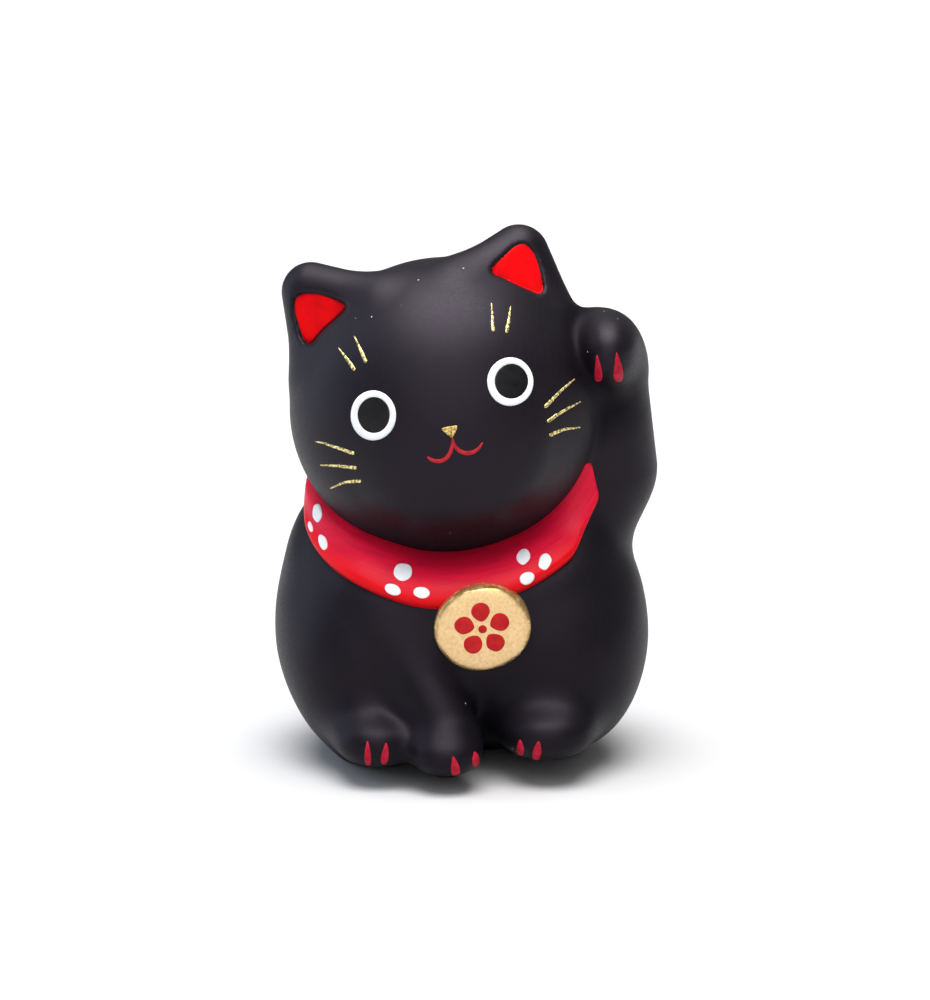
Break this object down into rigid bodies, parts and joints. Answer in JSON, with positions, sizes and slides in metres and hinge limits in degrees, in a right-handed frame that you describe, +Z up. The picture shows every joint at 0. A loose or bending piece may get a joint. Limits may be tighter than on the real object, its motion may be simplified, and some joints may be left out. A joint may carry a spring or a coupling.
{
  "type": "beckoning cat figurine",
  "caption": "Small seated beckoning cat figurine in matt black ceramic, head tilted and one paw raised, with a dotted red collar and a gold medallion.",
  "frame": {"origin": "centre of the figurine's box on the surface that it stands on", "axes": "+Z up, the cat looks along -Y, the raised paw is on the +X side"},
  "size_m": [0.0542, 0.0532, 0.0753],
  "materials": {
    "matt_black_ceramic": "matt black glaze with a soft sheen and a faint purple tint",
    "crimson_enamel": "brushed crimson enamel, satin",
    "gold_paint": "fine-grained pale gold paint, slightly worn on the high points",
    "white_enamel": "white enamel, hand-painted",
    "black_enamel": "glossy black enamel",
    "dark_red_enamel": "thin dark red enamel, hand-painted"
  },
  "bodies": {
    "root": {"brow_left_inner": "gold_paint", "brow_left_outer": "gold_paint", "brow_right_inner": "gold_paint", "brow_right_outer": "gold_paint", "claw_left_inner": "dark_red_enamel", "claw_left_outer": "dark_red_enamel", "claw_middle_left": "dark_red_enamel", "claw_middle_right": "dark_red_enamel", "claw_raised_inner": "dark_red_enamel", "claw_raised_outer": "dark_red_enamel", "claw_right_inner": "dark_red_enamel", "claw_right_outer": "dark_red_enamel", "collar_band": "crimson_enamel", "dot_centre_left": "white_enamel", "dot_centre_right": "white_enamel", "dot_centre_top": "white_enamel", "dot_left_lower": "white_enamel", "dot_left_middle": "white_enamel", "dot_left_upper": "white_enamel", "dot_right_inner": "white_enamel", "dot_right_lower": "white_enamel", "dot_right_outer": "white_enamel", "ear_enamel_left": "crimson_enamel", "ear_enamel_right": "crimson_enamel", "eye_ring_left": "white_enamel", "eye_ring_right": "white_enamel", "head_casting": "matt_black_ceramic", "medallion_blossom": "dark_red_enamel", "medallion_disc": "gold_paint", "mouth": "dark_red_enamel", "nose": "gold_paint", "pupil_left": "black_enamel", "pupil_right": "black_enamel", "raised_arm_casting": "matt_black_ceramic", "torso_casting": "matt_black_ceramic", "whisker_left_low": "gold_paint", "whisker_left_mid": "gold_paint", "whisker_left_top": "gold_paint", "whisker_right_low": "gold_paint", "whisker_right_mid": "gold_paint", "whisker_right_top": "gold_paint"}
  },
  "joints": []
}
